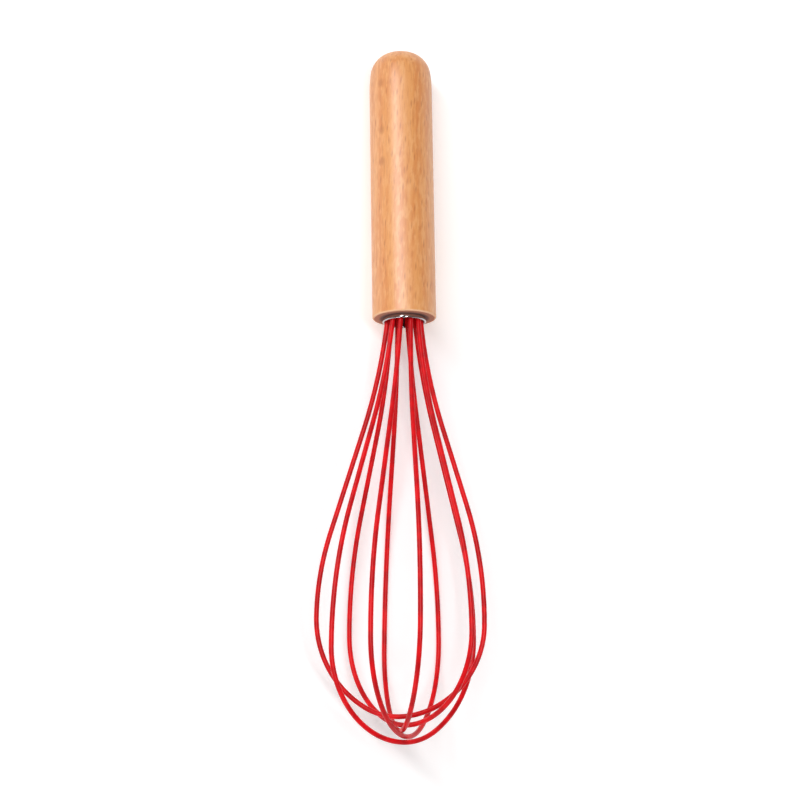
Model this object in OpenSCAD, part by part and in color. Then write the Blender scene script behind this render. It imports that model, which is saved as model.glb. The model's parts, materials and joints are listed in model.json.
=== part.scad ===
// Balloon whisk lying on a table: turned beech handle and five steel wire loops in silicone sleeves.
// Every piece is drawn upright in the whisk's own frame, with the centre of the handle's mouth at the
// origin and the handle going up, and is then laid down by lie_down(). Sizes are in millimetres.

/* [Handle] */
// Diameter of the straight grip
handle_d = 23.3; // [21:0.1:26]
// Length from the mouth to the top of the dome
handle_l = 103; // [85:0.5:130]
// Radius of the gentle bend in which the grip runs into the dome
ease_r = 45; // [35:1:50]
// Angle through which that bend turns
ease_turn = 8; // [7:0.5:8.5]
// Radius of the dome's shoulder
shoulder_r = 9; // [8:0.25:9.5]
// Radius of the dome's flatter crown
crown_r = 16; // [15:0.5:20]
// Rounding of the edge at the mouth
mouth_edge_r = 0.5; // [0.3:0.1:1.4]

/* [Mouth] */
// Outside diameter of the metal ring in the mouth
ring_d = 15.8; // [15.7:0.1:16.4]
// Wall of the metal ring
ring_wall = 0.6; // [0.5:0.05:0.65]
// How far the ring stands out of the mouth
ring_out = 1.6; // [1:0.1:2]
// Radius of the ring's rolled lip, at its outer end
lip_r = 0.38; // [0.36:0.01:0.42]
// Distance from the mouth up to the face of the leg plug
plug_recess = 4; // [2:0.5:6]
// Thickness of the leg plug
plug_t = 7; // [6:0.5:8]
// Diameter of the bore above the plug, which the resin fills
bore_d = 13.4; // [13.2:0.1:14]
// Depth of that bore from the mouth
bore_depth = 36; // [32:1:60]

/* [Wires] */
// Outside diameter of a silicone sleeve
sleeve_d = 1.8; // [1.5:0.05:1.9]
// Diameter of the steel wire inside it
wire_d = 1.2; // [0.8:0.05:1.3]
// How far the sleeves reach into the plug
sleeve_grip = 5; // [2:0.5:5.5]
// How far the wires reach into the handle from its mouth
wire_reach = 30; // [20:1:31]
// Distance of a leg from the axis at the mouth, in its loop's plane
leg_circle_r = 5.9; // [5.6:0.05:5.9]

/* [Cage] */
// Angle between a leg and the axis at the mouth
mouth_flare = 6; // [4:0.25:7]
// Steepest angle between a leg and the axis, half way down
flank_flare = 17.5; // [17:0.25:18.5]
// Radius of the outward bend between those two angles
outward_r = 205; // [120:5:210]
// How far a leg's hole stands to one side of its loop's plane, so that the cage is twisted at its neck
neck_twist = 1.25; // [0:0.05:1.3]
// Depth at which that twist has died out
neck_l = 80; // [60:5:120]
// Angle through which a shoulder bends before the round tip begins
shoulder_turn = 58; // [45:1:60]
// How far the cage's tip stands to the right of the handle's axis
tip_right = -2.5; // [-5:0.5:5]
// How far the cage's tip stands above the handle's axis, before the whisk is rolled
tip_up = -3.5; // [-5:0.5:5]
// Roll about the handle's axis that brings two neighbouring legs down to the table
roll = 8; // [-20:0.5:60]

/* [Hidden] */
// One row per loop, in the order in which their planes turn, because hand-bent loops all differ. A row
// has the angle of the loop's plane and the depth of its tip, then the half-width and the depth of the
// widest point, for the leg at that angle and for the opposite leg, and last how far its own tip stands
// to the right and up from the cage's. The tips are nested, a little more than a sleeve apart.
loops = [
  [ 10.0, 143, [30.0, 112], [30.5, 107], [-1.5, -1.5]],
  [ 45.5, 146, [31.5, 115], [30.0, 113], [ 1.5, -0.5]],
  [ 77.0, 148, [28.5, 112], [28.5, 117], [-1.0,  0.5]],
  [112.0, 150, [32.0, 118], [32.0, 114], [ 1.0, -0.5]],
  [142.0, 152, [31.5, 120], [32.0, 115], [ 0.0,  1.5]]
];
function turn(loop) = loop[0];
function tip_depth(loop) = loop[1];
function widest(loop, side) = side > 0 ? loop[2] : loop[3];
function tip_offset(loop) = [tip_right + loop[4][0], -(tip_up + loop[4][1]), 0];

$fn = 96;
TUBE_SIDES = 10;

handle_r = handle_d / 2;
ring_r = ring_d / 2;
plug_r = ring_r - ring_wall;
plug_top = plug_recess + plug_t;
// The dome is three arcs, each tangent to the next: the gentle bend, the shoulder and the crown. Only
// the crown is centred on the axis, and the bend is centred beyond it.
ease_off = handle_r - ease_r;
shoulder_off = ease_off + (ease_r - shoulder_r) * cos(ease_turn);
crown_turn = asin(shoulder_off / (crown_r - shoulder_r));
crown_z = handle_l - crown_r;
shoulder_z = crown_z + (crown_r - shoulder_r) * cos(crown_turn);
ease_z = shoulder_z - (ease_r - shoulder_r) * sin(ease_turn);
// Between the plug and the mouth a leg bends from straight to its flare.
start_r = plug_recess / sin(mouth_flare);
hole_circle_r = leg_circle_r - start_r * (1 - cos(mouth_flare));

function end(list) = list[len(list) - 1];
function tail(list) = [for (i = [1 : len(list) - 1]) list[i]];

// Points of an arc in a profile, from angle a to angle b.
function arc(centre, r, a, b, n) = [
  for (i = [0 : n]) centre + r * [cos(a + (b - a) * i / n), sin(a + (b - a) * i / n)]
];

// ---- The line of a loop

// A point of a leg is [distance from the axis, depth below the mouth, flare], where the flare is the
// leg's angle from the axis. bend() goes on from p along an arc to a new flare. A negative r bends in.
function bend(p, flare, r, n) = [
  for (i = [1 : n])
    let (a = p[2] + (flare - p[2]) * i / n)
      [p[0] + r * (cos(p[2]) - cos(a)), p[1] + r * (sin(a) - sin(p[2])), a]
];

// A leg, from a height inside the handle down to its tip on the axis: a bend outwards, a straight
// flank, a bend back to its widest point, a tighter shoulder, and a round tip centred on the axis.
function leg(reach, wide, tip) =
  let (
    start = [[hole_circle_r, -reach, 0], [hole_circle_r, -plug_recess, 0]],
    mouth = bend(end(start), mouth_flare, start_r, 2),
    outward = bend(end(mouth), flank_flare, outward_r, 4),
    top = end(outward),
    // The flank's length and the radius after it are the two that reach the widest point.
    rise = wide[0] - top[0],
    run = wide[1] - top[1],
    s = sin(flank_flare),
    c = cos(flank_flare),
    flank_l = (rise * s - run * (1 - c)) / (1 - c),
    flank_r = (run * s - rise * c) / (1 - c),
    flank = [[top[0] + flank_l * s, top[1] + flank_l * c, flank_flare]],
    inward = bend(end(flank), 0, -flank_r, 5),
    // The shoulder's radius is the one that leaves the tip's centre on the axis.
    k = (1 - sin(shoulder_turn)) / cos(shoulder_turn),
    fall = tip - wide[1] - wide[0] * k,
    turn_r = fall / (sin(shoulder_turn) - (1 - cos(shoulder_turn)) * k),
    shoulder = bend(end(inward), -shoulder_turn, -turn_r, 6),
    tip_r = end(shoulder)[0] / cos(shoulder_turn),
    round_tip = bend(end(shoulder), -90, -tip_r, 4)
  )
  concat(start, mouth, outward, flank, inward, shoulder, round_tip);

// How far a leg still stands to one side of its loop's plane, all of it down to the plug's face.
function aside(depth) = neck_twist * pow(1 - min(1, max(0, depth + plug_recess) / neck_l), 2);

// Where a loop's tube is at one point of a leg: [centre, direction outwards, direction across]. The leg
// on side 1 lies at the loop's angle, and the one on side -1 is opposite.
function station(loop, side, p) =
  let (
    a = turn(loop),
    out = side * [cos(a), -sin(a), 0],
    across = [sin(a), cos(a), 0],
    down = [0, 0, -1]
  )
    [
      p[0] * out + side * aside(p[1]) * across + p[1] * down,
      cos(p[2]) * out - sin(p[2]) * down,
      across
    ];

// All stations of a loop, down the leg at its angle and up the opposite one.
function stations(loop, reach) =
  let (
    down = leg(reach, widest(loop, 1), tip_depth(loop)),
    up = leg(reach, widest(loop, -1), tip_depth(loop))
  )
  [
    for (p = down) station(loop, 1, p),
    for (i = [len(up) - 2 : -1 : 0]) station(loop, -1, up[i])
  ];

// A point moved by its loop's lean, which grows from nothing at the plug's face to the whole at the tip.
function leaned(loop, q) =
  q + tip_offset(loop) * max(0, plug_recess - q[2]) / (plug_recess + tip_depth(loop));

// ---- Lying down

function rolled(q) = [q[0] * cos(roll) + q[1] * sin(roll), q[1] * cos(roll) - q[0] * sin(roll), q[2]];

// The whisk rests on the handle's gentle bend and on its lowest legs, so the axis is tilted by the angle
// of the line that touches both from below.
lines = [for (loop = loops) each [for (s = stations(loop, plug_recess)) rolled(leaned(loop, s[0]))]];
function tilt_to(q) =
  let (fall = q[1] - ease_off, run = ease_z - q[2])
    atan2(fall, run) + asin((sleeve_d / 2 - ease_r) / norm([fall, run]));
tilt = max([for (q = lines) tilt_to(q)]);
function laid_y(q) = q[2] * cos(tilt) - q[1] * sin(tilt);
rest_z = ease_r + ease_off * cos(tilt) + ease_z * sin(tilt);
right_x = max([for (q = lines) q[0]]) + sleeve_d / 2;
left_x = min([for (q = lines) q[0]]) - sleeve_d / 2;
handle_y = crown_z * cos(tilt) + crown_r;
tip_y = min([for (q = lines) laid_y(q)]) - sleeve_d / 2;

// Lays a piece down with the handle along +Y, resting on Z = 0, over the middle of the whole whisk.
module lie_down() {
  translate([-(left_x + right_x) / 2, -(tip_y + handle_y) / 2, rest_z])
    rotate([-90 - tilt, 0, 0])
      rotate([0, 0, -roll])
        children();
}

// ---- The pieces

// Turned from one blank, with a stepped blind bore in its mouth.
module handle() {
  outside = concat(
    arc([handle_r - mouth_edge_r, mouth_edge_r], mouth_edge_r, -90, 0, 6),
    arc([ease_off, ease_z], ease_r, 0, ease_turn, 5),
    tail(arc([shoulder_off, shoulder_z], shoulder_r, ease_turn, 90 - crown_turn, 16)),
    [for (i = [4 : -1 : 0]) [0, crown_z] + crown_r * [sin(crown_turn * i / 5), cos(crown_turn * i / 5)]]
  );
  bore = [[0, bore_depth], [bore_d / 2, bore_depth], [bore_d / 2, plug_top], [ring_r, plug_top], [ring_r, 0]];
  color("burlywood")
    rotate_extrude()
      polygon(concat(outside, bore));
}

// Pressed into the mouth, with a rolled lip round the wires at its outer end.
module mouth_ring() {
  lip = [ring_r - ring_wall / 2, lip_r - ring_out];
  wall_turn = asin(ring_wall / 2 / lip_r);
  color("silver")
    rotate_extrude()
      polygon(concat(
        [[plug_r, plug_top], [ring_r, plug_top]],
        arc(lip, lip_r, 90 - wall_turn, wall_turn - 270, 18)
      ));
}

// A place for each of the ten legs, round the plug and the resin.
module at_legs() {
  for (loop = loops, side = [0, 180])
    rotate([0, 0, side - turn(loop)])
      translate([hole_circle_r, neck_twist, 0])
        children();
}

// Holds the sleeves' ends in ten blind seats and passes the bare wires on.
module leg_plug() {
  color("darkred")
    difference() {
      translate([0, 0, plug_recess])
        cylinder(h = plug_t, r = plug_r);
      at_legs() {
        translate([0, 0, plug_recess - 1])
          cylinder(h = sleeve_grip + 1, d = sleeve_d);
        cylinder(h = plug_top + 1, d = wire_d);
      }
    }
}

// Poured round the wires' ends to lock them in the bore.
module resin() {
  color("goldenrod")
    difference() {
      translate([0, 0, plug_top])
        cylinder(h = bore_depth - plug_top, d = bore_d);
      at_legs()
        cylinder(h = wire_reach, d = wire_d);
    }
}

// A ring of points round one station.
function ring(loop, s, r) = [
  for (i = [0 : TUBE_SIDES - 1])
    let (a = 360 * i / TUBE_SIDES)
      leaned(loop, s[0] + r * (cos(a) * s[1] + sin(a) * s[2]))
];

// The faces between two rings of points that start at a and b.
function band(a, b) = [
  for (i = [0 : TUBE_SIDES - 1])
    let (j = (i + 1) % TUBE_SIDES)
      [a + i, a + j, b + j, b + i]
];

// The steel core, whose ends stand in the resin.
module wire(loop) {
  line = stations(loop, wire_reach);
  last = (len(line) - 1) * TUBE_SIDES;
  color("silver")
    polyhedron(
      points = [for (s = line) each ring(loop, s, wire_d / 2)],
      faces = [
        [for (i = [TUBE_SIDES - 1 : -1 : 0]) i],
        for (k = [1 : len(line) - 1]) each band((k - 1) * TUBE_SIDES, k * TUBE_SIDES),
        [for (i = [0 : TUBE_SIDES - 1]) last + i]
      ]
    );
}

// The silicone tube round the core, whose ends stand in the plug.
module sleeve(loop) {
  line = stations(loop, plug_recess + sleeve_grip);
  inner = len(line) * TUBE_SIDES;
  last = (len(line) - 1) * TUBE_SIDES;
  color("crimson")
    polyhedron(
      points = [
        for (s = line) each ring(loop, s, sleeve_d / 2),
        for (s = line) each ring(loop, s, wire_d / 2)
      ],
      faces = [
        each band(inner, 0),
        for (k = [1 : len(line) - 1]) each band((k - 1) * TUBE_SIDES, k * TUBE_SIDES),
        for (k = [1 : len(line) - 1])
          each band(inner + k * TUBE_SIDES, inner + (k - 1) * TUBE_SIDES),
        each band(last, inner + last)
      ]
    );
}

lie_down() handle();
lie_down() mouth_ring();
lie_down() leg_plug();
lie_down() resin();
for (i = [1 : len(loops)]) {
  lie_down() sleeve(loops[i - 1]);
  lie_down() wire(loops[i - 1]);
}
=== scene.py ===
"""Looks of a balloon whisk that lies on a pale table: a beech handle and five wire loops in red silicone.

Everything is in metres in the row frame. The handle, the ring, the plug and the resin are the CAD's own
nodes with better materials. The sleeves and wires are swept here as smooth tubes on the CAD's formulas.
"""

import json
import math

import bpy
from mathutils import Matrix, Vector


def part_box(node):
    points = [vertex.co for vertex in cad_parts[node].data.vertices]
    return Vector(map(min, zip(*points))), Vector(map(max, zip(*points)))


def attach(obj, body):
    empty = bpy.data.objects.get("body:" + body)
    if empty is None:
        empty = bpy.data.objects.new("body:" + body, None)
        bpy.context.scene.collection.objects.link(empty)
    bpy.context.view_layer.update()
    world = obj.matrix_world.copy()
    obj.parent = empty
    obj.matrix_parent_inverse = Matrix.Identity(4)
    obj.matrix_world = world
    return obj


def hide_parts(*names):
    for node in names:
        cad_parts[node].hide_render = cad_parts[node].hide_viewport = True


MM = 0.001

# ---- Sizes that part.scad sets, in millimetres and degrees

MOUTH_EDGE_R = 0.5
PLUG_RECESS = 4.0
SLEEVE_D = 1.8
WIRE_D = 1.2
SLEEVE_GRIP = 5.0
WIRE_REACH = 30.0
LEG_CIRCLE_R = 5.9
MOUTH_FLARE = 6.0
FLANK_FLARE = 17.5
OUTWARD_R = 205.0
NECK_TWIST = 1.25
NECK_L = 80.0
SHOULDER_TURN = 58.0
TIP_RIGHT = -2.5
TIP_UP = -3.5
ROLL = 8.0

# One row per loop: the angle of its plane and the depth of its tip, then the half-width and the depth of
# the widest point for the leg at that angle and for the opposite one, and its tip's own offset.
LOOPS = [
    (10.0, 143, (30.0, 112), (30.5, 107), (-1.5, -1.5)),
    (45.5, 146, (31.5, 115), (30.0, 113), (1.5, -0.5)),
    (77.0, 148, (28.5, 112), (28.5, 117), (-1.0, 0.5)),
    (112.0, 150, (32.0, 118), (32.0, 114), (1.0, -0.5)),
    (142.0, 152, (31.5, 120), (32.0, 115), (0.0, 1.5)),
]

# Three pin knots in a row on the handle's left side: millimetres to the left, up and above the mouth.
PIN_KNOTS = [(7.4, 8.8, 88), (7.3, 9.1, 69.5), (7.1, 9.2, 57.5)]
# They are longer than wide by this factor, along the grain.
KNOT_LENGTHENED = 1.4

# ---- How finely the tubes are swept

# Degrees of bend from one station to the next.
BEND_STEP = 1.5
SLEEVE_SIDES = 28
WIRE_SIDES = 16
# The share of its radius by which a tube's end is rounded.
END_ROUND = 0.15
# How far a swept tube's box may be from its CAD node's.
BOX_TOLERANCE = 0.25 * MM

# ---- The camera: it looks down on the whisk, whose tip is nearer to it than the handle

LENS = 85.0
CAMERA_DISTANCE = 0.6886
# The whisk's tip points this far towards the camera, and this far off the picture's vertical.
TIP_TOWARDS_CAMERA = 12.6
TIP_ASIDE = 0.88
# Where the mouth's centre stands from the middle of the view, in the mouth's own plane.
MOUTH_RIGHT = 1.58 * MM
MOUTH_UP = 29.65 * MM

# ---- The stage. The walls' and the ceiling's heights are sines of the angle above the horizon.

FLOOR_HALF = 3.0
WALL_TOP = 0.2
CEILING_EDGE = 0.55
WALL_LIGHT = 0.5
CEILING_LIGHT = 0.13


# ---- The whisk's own frame


def sin(angle):
    return math.sin(math.radians(angle))


def cos(angle):
    return math.cos(math.radians(angle))


def whisk_frame(record):
    """The mouth's centre and the directions to the tip, to the right and up, before the whisk's roll."""
    grip = next(m for m in record["mounts"] if m["name"] == "grip")
    to_dome = Vector(grip["axis"]).normalized()
    half = (grip["dims"]["length_mm"] / 2 + MOUTH_EDGE_R) * MM
    mouth = Vector(grip["pos_m"]) - to_dome * half
    to_tip = -to_dome
    level = Vector((1, 0, 0))
    upright = to_tip.cross(level)
    right = cos(ROLL) * level + sin(ROLL) * upright
    up = cos(ROLL) * upright - sin(ROLL) * level
    return mouth, to_tip, right, up


# ---- Materials


class Nodes:
    """Builds one node material. An input takes a number, a tuple or another node's output."""

    def __init__(self, name):
        self.material = bpy.data.materials.new(name)
        self.material.use_nodes = True
        self.tree = self.material.node_tree
        self.tree.nodes.clear()
        self.output = self.tree.nodes.new("ShaderNodeOutputMaterial")

    def add(self, kind, inputs=None, **settings):
        node = self.tree.nodes.new("ShaderNode" + kind)
        for key, value in settings.items():
            setattr(node, key, value)
        for key, value in (inputs or {}).items():
            self.feed(node.inputs[key], value)
        return node

    def feed(self, socket, value):
        if isinstance(value, bpy.types.NodeSocket):
            self.tree.links.new(value, socket)
        else:
            socket.default_value = value

    def calc(self, operation, a, b):
        return self.add("Math", {0: a, 1: b}, operation=operation).outputs[0]

    def mix(self, factor, a, b):
        node = self.add("Mix", data_type="RGBA")
        for index, value in ((0, factor), (6, a), (7, b)):
            self.feed(node.inputs[index], value)
        return node.outputs[2]

    def ramp(self, factor, low, high):
        """0 below low and 1 above high, smoothly."""
        node = self.add("MapRange", {0: factor, 1: low, 2: high}, interpolation_type="SMOOTHSTEP")
        return node.outputs[0]

    def between(self, factor, low, high):
        """low where the factor is 0 and high where it is 1."""
        return self.add("MapRange", {0: factor, 3: low, 4: high}).outputs[0]

    def stretched(self, axes, stretch, turn=0.0):
        """Millimetres to the whisk's left, up and to its dome, slanted by turn and divided by stretch."""
        mouth, to_tip, right, up = axes
        inverse = Matrix((-right, up, -to_tip)).transposed().to_euler("XYZ")
        source = self.add("TexCoord").outputs["Object"]
        moved = self.add("VectorMath", {0: source, 1: -mouth}, operation="ADD").outputs[0]
        turned = self.add("VectorRotate", {"Vector": moved, "Rotation": inverse},
                          rotation_type="EULER_XYZ", invert=True).outputs[0]
        slanted = self.add("VectorRotate",
                           {"Vector": turned, "Axis": (0, 1, 0), "Angle": math.radians(turn)},
                           rotation_type="AXIS_ANGLE").outputs[0]
        scale = tuple(1 / (size * MM) for size in stretch)
        return self.add("VectorMath", {0: slanted, 1: scale}, operation="MULTIPLY").outputs[0]

    def along(self, axes):
        """Distance above the mouth's plane, in metres."""
        mouth, to_tip = axes[:2]
        source = self.add("TexCoord").outputs["Object"]
        moved = self.add("VectorMath", {0: source, 1: -mouth}, operation="ADD").outputs[0]
        return self.add("VectorMath", {0: moved, 1: -to_tip}, operation="DOT_PRODUCT").outputs["Value"]

    def radius(self, axes):
        """Distance from the handle's axis, in millimetres."""
        here = self.stretched(axes, (1, 1, 1))
        flat = self.add("VectorMath", {0: here, 1: (1, 1, 0)}, operation="MULTIPLY").outputs[0]
        return self.add("VectorMath", {0: flat}, operation="LENGTH").outputs["Value"]

    def dots(self, vector, core, edge, share):
        """1 in the middle of about this share of a pattern's cells, and 0 between them."""
        cells = self.add("TexVoronoi", {"Vector": vector, "Scale": 1.0})
        chance = self.add("SeparateColor", {0: cells.outputs["Color"]}).outputs[0]
        kept = self.calc("LESS_THAN", chance, share)
        return self.calc("MULTIPLY", self.ramp(cells.outputs["Distance"], edge, core), kept)

    def near(self, axes, places, core, edge):
        """1 at these places and 0 beyond edge millimetres from them all, or more along the grain."""
        here = self.stretched(axes, (1, 1, KNOT_LENGTHENED))
        total = 0.0
        for x, y, z in places:
            centre = (x, y, z / KNOT_LENGTHENED)
            gap = self.add("VectorMath", {0: here, 1: centre}, operation="DISTANCE").outputs["Value"]
            total = self.calc("ADD", self.ramp(gap, edge, core), total)
        return total

    def noise(self, vector, detail, roughness=0.5, scale=1.0):
        return self.add("TexNoise", {"Vector": vector, "Scale": scale, "Detail": detail,
                                     "Roughness": roughness}).outputs["Fac"]

    def bump(self, height, distance, strength, normal=None):
        inputs = {"Height": height, "Distance": distance, "Strength": strength}
        if normal is not None:
            inputs["Normal"] = normal
        return self.add("Bump", inputs).outputs[0]

    def finish(self, **inputs):
        names = {key.replace("_", " "): value for key, value in inputs.items()}
        shader = self.add("BsdfPrincipled", names)
        self.tree.links.new(shader.outputs[0], self.output.inputs["Surface"])
        return self.material


def beech(axes):
    """Sanded, oiled beech: fine streaked grain, short dark flecks, three pin knots, a darker mouth face
    with painted shade and a painted rim highlight.
    """
    n = Nodes("beech")
    bands = n.noise(n.stretched(axes, (3, 3, 60), 1), detail=2)
    wood = n.mix(n.ramp(bands, 0.38, 0.62), (0.79, 0.280, 0.065, 1), (0.87, 0.37, 0.105, 1))
    patches = n.noise(n.stretched(axes, (1.2, 1.2, 4.5), 3), detail=3)
    wood = n.mix(n.calc("MULTIPLY", n.ramp(patches, 0.45, 0.65), 0.75), wood, (0.92, 0.44, 0.16, 1))
    lines = n.noise(n.stretched(axes, (0.55, 0.55, 5), 3), detail=3, roughness=0.6)
    wood = n.mix(n.calc("MULTIPLY", n.ramp(lines, 0.48, 0.68), 0.5), wood, (0.66, 0.20, 0.04, 1))
    fleck = n.dots(n.stretched(axes, (1.2, 1.2, 6), 4), 0.05, 0.36, 0.6)
    wood = n.mix(n.calc("MULTIPLY", fleck, 0.65), wood, (0.54, 0.15, 0.025, 1))
    spot = n.near(axes, PIN_KNOTS, 0.4, 1.8)
    wood = n.mix(n.calc("MULTIPLY", spot, 0.7), wood, (0.60, 0.19, 0.035, 1))
    pores = n.noise(n.stretched(axes, (0.14, 0.14, 1.2)), detail=2)
    wood = n.mix(n.calc("MULTIPLY", n.ramp(pores, 0.6, 0.8), 0.15), wood, (0.50, 0.18, 0.05, 1))
    from_axis = n.radius(axes)
    # The mouth's face: end grain's own darker tone, made darker still as painted shade for a face turned
    # from the light.
    end_grain_shade_and_rim_highlight = n.mix(n.ramp(lines, 0.4, 0.7), (0.42, 0.15, 0.080, 1), (0.56, 0.22, 0.12, 1))
    # Painted shade: darkest towards the ring, where the ring and the legs shadow the face.
    end_grain_shade_and_rim_highlight = n.mix(n.ramp(from_axis, 9.6, 8.3), end_grain_shade_and_rim_highlight, (0.13, 0.03, 0.018, 1))
    # Painted highlight: a pale band on the mouth's rounded rim, where the light catches it.
    end_grain_shade_and_rim_highlight = n.mix(n.ramp(from_axis, 10.7, 11.3), end_grain_shade_and_rim_highlight, (0.95, 0.56, 0.32, 1))
    at_mouth = n.ramp(n.along(axes), 0.6 * MM, 0.3 * MM)
    wood = n.mix(at_mouth, wood, end_grain_shade_and_rim_highlight)
    dull = n.calc("MULTIPLY", at_mouth, n.ramp(from_axis, 13.0, 10.7))
    height = n.calc("SUBTRACT", n.calc("MULTIPLY", pores, -1.0), fleck)
    return n.finish(
        Base_Color=wood,
        Roughness=n.calc("ADD", n.between(lines, 0.38, 0.46), dull),
        Normal=n.bump(height, 0.00003, 0.3),
        IOR=2.0,
    )


def silicone(axes):
    """Satin red silicone rubber: faint cloudiness, fine surface grain and a soft gloss."""
    n = Nodes("silicone")
    cloud = n.noise(n.stretched(axes, (6, 6, 6)), detail=2)
    red = n.mix(n.ramp(cloud, 0.35, 0.65), (0.56, 0.003, 0.007, 1), (0.82, 0.005, 0.010, 1))
    grain = n.noise(n.stretched(axes, (0.12, 0.12, 0.12)), detail=3, roughness=0.6)
    waves = n.noise(n.stretched(axes, (1.6, 1.6, 1.6)), detail=1)
    soft = n.bump(waves, 0.00012, 0.25)
    return n.finish(
        Base_Color=red,
        Roughness=n.between(grain, 0.28, 0.40),
        Normal=n.bump(grain, 0.00002, 0.3, soft),
        Specular_IOR_Level=0.22,
    )


def polished_steel(axes):
    """The mouth ring: polished, with faint turning marks round it."""
    n = Nodes("ring_metal")
    marks = n.noise(n.stretched(axes, (4, 4, 0.05)), detail=2)
    return n.finish(
        Base_Color=n.mix(marks, (0.44, 0.44, 0.46, 1), (0.54, 0.54, 0.56, 1)),
        Metallic=1.0,
        Roughness=n.between(marks, 0.05, 0.10),
        Normal=n.bump(marks, 0.00001, 0.2),
    )


def nylon(axes):
    """The leg plug: moulded nylon with a fine matt grain, in a very dark red that is partly painted shade.
    """
    n = Nodes("plug_nylon")
    grain = n.noise(n.stretched(axes, (0.25, 0.25, 0.25)), detail=3)
    return n.finish(
        # Very dark red: partly the nylon's own colour, partly painted shade for the shadowed gap between
        # the legs.
        Base_Color=n.mix(grain, (0.090, 0.010, 0.010, 1), (0.130, 0.016, 0.014, 1)),
        Roughness=n.between(grain, 0.5, 0.7),
        Normal=n.bump(grain, 0.00003, 0.4),
    )


def epoxy(axes):
    """The resin: cloudy amber with small bubbles."""
    n = Nodes("resin")
    cloud = n.noise(n.stretched(axes, (4, 4, 4)), detail=3)
    cells = n.add("TexVoronoi", {"Vector": n.stretched(axes, (1.4, 1.4, 1.4)), "Scale": 1.0})
    bubble = n.calc("SUBTRACT", 1.0, n.ramp(cells.outputs["Distance"], 0.1, 0.22))
    amber = n.mix(n.ramp(cloud, 0.3, 0.7), (0.42, 0.17, 0.03, 1), (0.62, 0.30, 0.07, 1))
    return n.finish(
        Base_Color=n.mix(n.calc("MULTIPLY", bubble, 0.4), amber, (0.85, 0.62, 0.30, 1)),
        Roughness=n.between(cloud, 0.12, 0.25),
        Normal=n.bump(bubble, 0.00005, 0.3),
    )


def drawn_steel(axes):
    """The loops' spring wire: drawn stainless with fine lines along it."""
    n = Nodes("wire_steel")
    lines = n.noise(n.stretched(axes, (0.08, 0.08, 3)), detail=3)
    return n.finish(
        Base_Color=n.mix(lines, (0.50, 0.50, 0.52, 1), (0.66, 0.66, 0.68, 1)),
        Metallic=1.0,
        Roughness=n.between(lines, 0.22, 0.38),
        Normal=n.bump(lines, 0.00001, 0.3),
    )


def table_top():
    """A white light table, a hair uneven in tone, that glows enough to lift the shadows on it."""
    n = Nodes("table_top")
    source = n.add("TexCoord").outputs["Object"]
    tone = n.noise(source, detail=2, scale=3.0)
    return n.finish(
        Base_Color=n.mix(tone, (0.90, 0.90, 0.90, 1), (0.93, 0.93, 0.93, 1)),
        Roughness=n.between(tone, 0.75, 0.85),
        Specular_IOR_Level=0.1,
        Emission_Color=(1, 1, 1, 1),
        Emission_Strength=0.25,
    )


# ---- The line of a loop, as part.scad draws it


def bend(start, flare, radius):
    """Points of a leg along an arc from start on to a new flare. A negative radius bends inwards."""
    x, depth, first = start
    steps = max(1, math.ceil(abs(flare - first) / BEND_STEP))
    points = []
    for i in range(1, steps + 1):
        angle = first + (flare - first) * i / steps
        points.append((
            x + radius * (cos(first) - cos(angle)),
            depth + radius * (sin(angle) - sin(first)),
            angle,
        ))
    return points


def leg(reach, wide, tip):
    """A leg from a height inside the handle to its tip: [distance from the axis, depth, flare]."""
    start_r = PLUG_RECESS / sin(MOUTH_FLARE)
    hole_circle_r = LEG_CIRCLE_R - start_r * (1 - cos(MOUTH_FLARE))
    line = [(hole_circle_r, -reach, 0.0), (hole_circle_r, -PLUG_RECESS, 0.0)]
    line += bend(line[-1], MOUTH_FLARE, start_r)
    line += bend(line[-1], FLANK_FLARE, OUTWARD_R)
    s = sin(FLANK_FLARE)
    c = cos(FLANK_FLARE)
    rise = wide[0] - line[-1][0]
    run = wide[1] - line[-1][1]
    flank = (rise * s - run * (1 - c)) / (1 - c)
    line += [(line[-1][0] + flank * s, line[-1][1] + flank * c, FLANK_FLARE)]
    line += bend(line[-1], 0.0, -(run * s - rise * c) / (1 - c))
    k = (1 - sin(SHOULDER_TURN)) / cos(SHOULDER_TURN)
    fall = tip - wide[1] - wide[0] * k
    line += bend(line[-1], -SHOULDER_TURN, -fall / (sin(SHOULDER_TURN) - (1 - cos(SHOULDER_TURN)) * k))
    return line + bend(line[-1], -90.0, -line[-1][0] / cos(SHOULDER_TURN))


def loop_line(loop, reach, axes):
    """The loop's stations: (centre, direction outwards, direction across), with the loop's lean in them."""
    mouth, to_tip, right, up = axes
    angle, tip, wide, opposite, own = loop
    out = cos(angle) * right + sin(angle) * up
    across = sin(angle) * right - cos(angle) * up
    offset = ((TIP_RIGHT + own[0]) * right + (TIP_UP + own[1]) * up) / (PLUG_RECESS + tip)

    def station(p, side):
        below_plug = max(0.0, PLUG_RECESS + p[1])
        aside = NECK_TWIST * (1 - min(1.0, below_plug / NECK_L)) ** 2
        centre = side * (p[0] * out + aside * across) + p[1] * to_tip + offset * below_plug
        outwards = side * cos(p[2]) * out - sin(p[2]) * to_tip
        return mouth + centre * MM, outwards, across

    down = [station(p, 1) for p in leg(reach, wide, tip)]
    back = [station(p, -1) for p in leg(reach, opposite, tip)]
    return down + back[-2::-1]


# ---- Swept tubes


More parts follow.
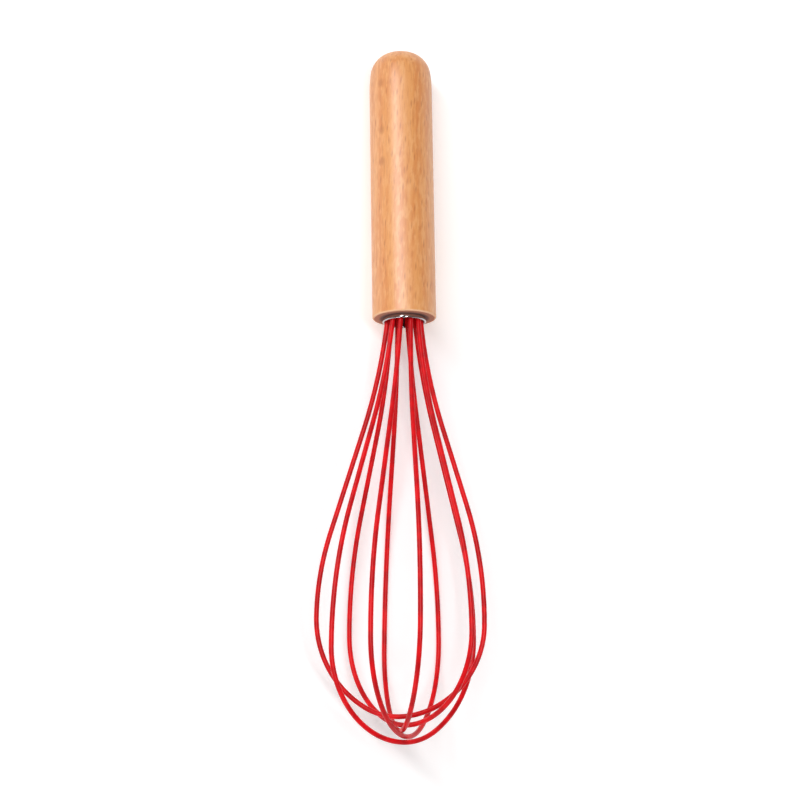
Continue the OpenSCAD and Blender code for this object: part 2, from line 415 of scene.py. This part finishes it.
def tube(name, line, radius, sides, bore=0.0):
    """A smooth tube along a line of stations, with softly rounded ends, hollow if it has a bore."""
    soft = radius * END_ROUND
    first = line[0]
    last = line[-1]
    start = (line[1][0] - first[0]).normalized() * soft
    end = (line[-2][0] - last[0]).normalized() * soft
    rings = [(first, radius - soft), ((first[0] + start, *first[1:]), radius)]
    rings += [(s, radius) for s in line[1:-1]]
    rings += [((last[0] + end, *last[1:]), radius), (last, radius - soft)]
    if bore:
        rings += [(s, bore) for s in reversed(line)]
    verts = []
    for (centre, outwards, across), r in rings:
        for i in range(sides):
            angle = 2 * math.pi * i / sides
            verts.append(centre + r * (math.cos(angle) * outwards + math.sin(angle) * across))
    faces = []
    count = len(rings)
    for k in range(count if bore else count - 1):
        a = k * sides
        b = (k + 1) % count * sides
        for i in range(sides):
            j = (i + 1) % sides
            faces.append((a + i, b + i, b + j, a + j))
    if not bore:
        faces.append(tuple(range(sides)))
        faces.append(tuple((count - 1) * sides + i for i in reversed(range(sides))))
    mesh = bpy.data.meshes.new(name)
    mesh.from_pydata(verts, [], faces)
    mesh.update()
    mesh.shade_smooth()
    piece = bpy.data.objects.new(name, mesh)
    bpy.context.scene.collection.objects.link(piece)
    return piece


def check_fit(piece, node):
    """Stops the script if a swept tube doesn't lie where its CAD node does."""
    low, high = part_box(node)
    for axis in range(3):
        values = [v.co[axis] for v in piece.data.vertices]
        if abs(min(values) - low[axis]) > BOX_TOLERANCE or abs(max(values) - high[axis]) > BOX_TOLERANCE:
            raise ValueError(f"{piece.name} doesn't match {node} along axis {axis}")


def dress(piece, material):
    piece.data.materials.clear()
    piece.data.materials.append(material)


def place(piece, node, material):
    """Gives a swept piece its material and its place in the frame, for the CAD node that it stands for."""
    check_fit(piece, node)
    dress(piece, material)
    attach(piece, "root")
    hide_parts(node)


def make_loops(axes):
    rubber = silicone(axes)
    steel = drawn_steel(axes)
    for number, loop in enumerate(LOOPS, 1):
        line = loop_line(loop, PLUG_RECESS + SLEEVE_GRIP, axes)
        sleeve = tube(f"silicone_sleeve_{number}", line, SLEEVE_D / 2 * MM, SLEEVE_SIDES, WIRE_D / 2 * MM)
        place(sleeve, f"sleeve_{number}", rubber)
        line = loop_line(loop, WIRE_REACH, axes)
        wire = tube(f"spring_wire_{number}", line, WIRE_D / 2 * MM, WIRE_SIDES)
        place(wire, f"wire_{number}", steel)


# ---- The stage


def make_camera(axes):
    mouth, to_tip, right, up = axes
    tip_seen = Vector((
        sin(TIP_ASIDE) * cos(TIP_TOWARDS_CAMERA),
        -cos(TIP_ASIDE) * cos(TIP_TOWARDS_CAMERA),
        sin(TIP_TOWARDS_CAMERA),
    ))
    right_seen = Vector((cos(TIP_ASIDE), sin(TIP_ASIDE), 0))
    up_seen = tip_seen.cross(right_seen)
    whisk = Matrix((right, up, to_tip)).transposed()
    seen = Matrix((right_seen, up_seen, tip_seen)).transposed()
    turn = whisk @ seen.transposed()
    camera = bpy.data.cameras.new("camera")
    camera.lens = LENS
    rig = bpy.data.objects.new("camera", camera)
    bpy.context.scene.collection.objects.link(rig)
    place_from_mouth = Vector((-MOUTH_RIGHT, -MOUTH_UP, CAMERA_DISTANCE))
    rig.matrix_world = Matrix.Translation(mouth + turn @ place_from_mouth) @ turn.to_4x4()
    bpy.context.scene.camera = rig


def area_light(name, at, aim, size, power):
    light = bpy.data.lights.new(name, "AREA")
    light.shape = "RECTANGLE"
    light.size, light.size_y = size
    light.energy = power
    rig = bpy.data.objects.new(name, light)
    rig.location = at
    rig.rotation_euler = (Vector(aim) - Vector(at)).to_track_quat("-Z", "Y").to_euler()
    bpy.context.scene.collection.objects.link(rig)


def pale_walls():
    """A white world that is brighter round the horizon than overhead, as in a studio with pale walls."""
    world = bpy.data.worlds.new("studio")
    world.use_nodes = True
    tree = world.node_tree
    direction = tree.nodes.new("ShaderNodeTexCoord").outputs["Generated"]
    height = tree.nodes.new("ShaderNodeSeparateXYZ")
    tree.links.new(direction, height.inputs[0])
    fall = tree.nodes.new("ShaderNodeMapRange")
    fall.interpolation_type = "SMOOTHSTEP"
    for index, value in ((1, WALL_TOP), (2, CEILING_EDGE), (3, WALL_LIGHT), (4, CEILING_LIGHT)):
        fall.inputs[index].default_value = value
    tree.links.new(height.outputs["Z"], fall.inputs[0])
    background = tree.nodes["Background"]
    background.inputs["Color"].default_value = (1, 1, 1, 1)
    tree.links.new(fall.outputs[0], background.inputs["Strength"])
    return world


def make_stage():
    mesh = bpy.data.meshes.new("table_top")
    corners = [(x * FLOOR_HALF, y * FLOOR_HALF, 0) for x, y in ((-1, -1), (1, -1), (1, 1), (-1, 1))]
    mesh.from_pydata(corners, [], [(0, 1, 2, 3)])
    floor = bpy.data.objects.new("table_top", mesh)
    bpy.context.scene.collection.objects.link(floor)
    dress(floor, table_top())
    area_light("strip", at=(-0.26, 0.3, 1.4), aim=(0, 0.05, 0), size=(0.2, 2.2), power=21)
    area_light("front_left", at=(-0.6, -0.95, 0.55), aim=(0, 0.02, 0.02), size=(0.45, 0.45), power=1.8)
    bpy.context.scene.world = pale_walls()
    bpy.context.scene.view_settings.view_transform = "Standard"


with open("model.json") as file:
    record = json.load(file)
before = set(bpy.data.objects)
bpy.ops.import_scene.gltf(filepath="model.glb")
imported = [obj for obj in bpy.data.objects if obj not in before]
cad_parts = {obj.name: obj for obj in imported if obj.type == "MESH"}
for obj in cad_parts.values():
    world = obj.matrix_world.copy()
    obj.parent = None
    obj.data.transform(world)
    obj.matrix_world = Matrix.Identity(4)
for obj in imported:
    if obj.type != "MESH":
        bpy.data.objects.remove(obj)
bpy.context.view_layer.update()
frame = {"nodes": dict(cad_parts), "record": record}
whisk = whisk_frame(frame["record"])
dress(frame["nodes"]["handle"], beech(whisk))
dress(frame["nodes"]["mouth_ring"], polished_steel(whisk))
dress(frame["nodes"]["leg_plug"], nylon(whisk))
dress(frame["nodes"]["resin"], epoxy(whisk))
make_loops(whisk)
make_camera(whisk)
make_stage()
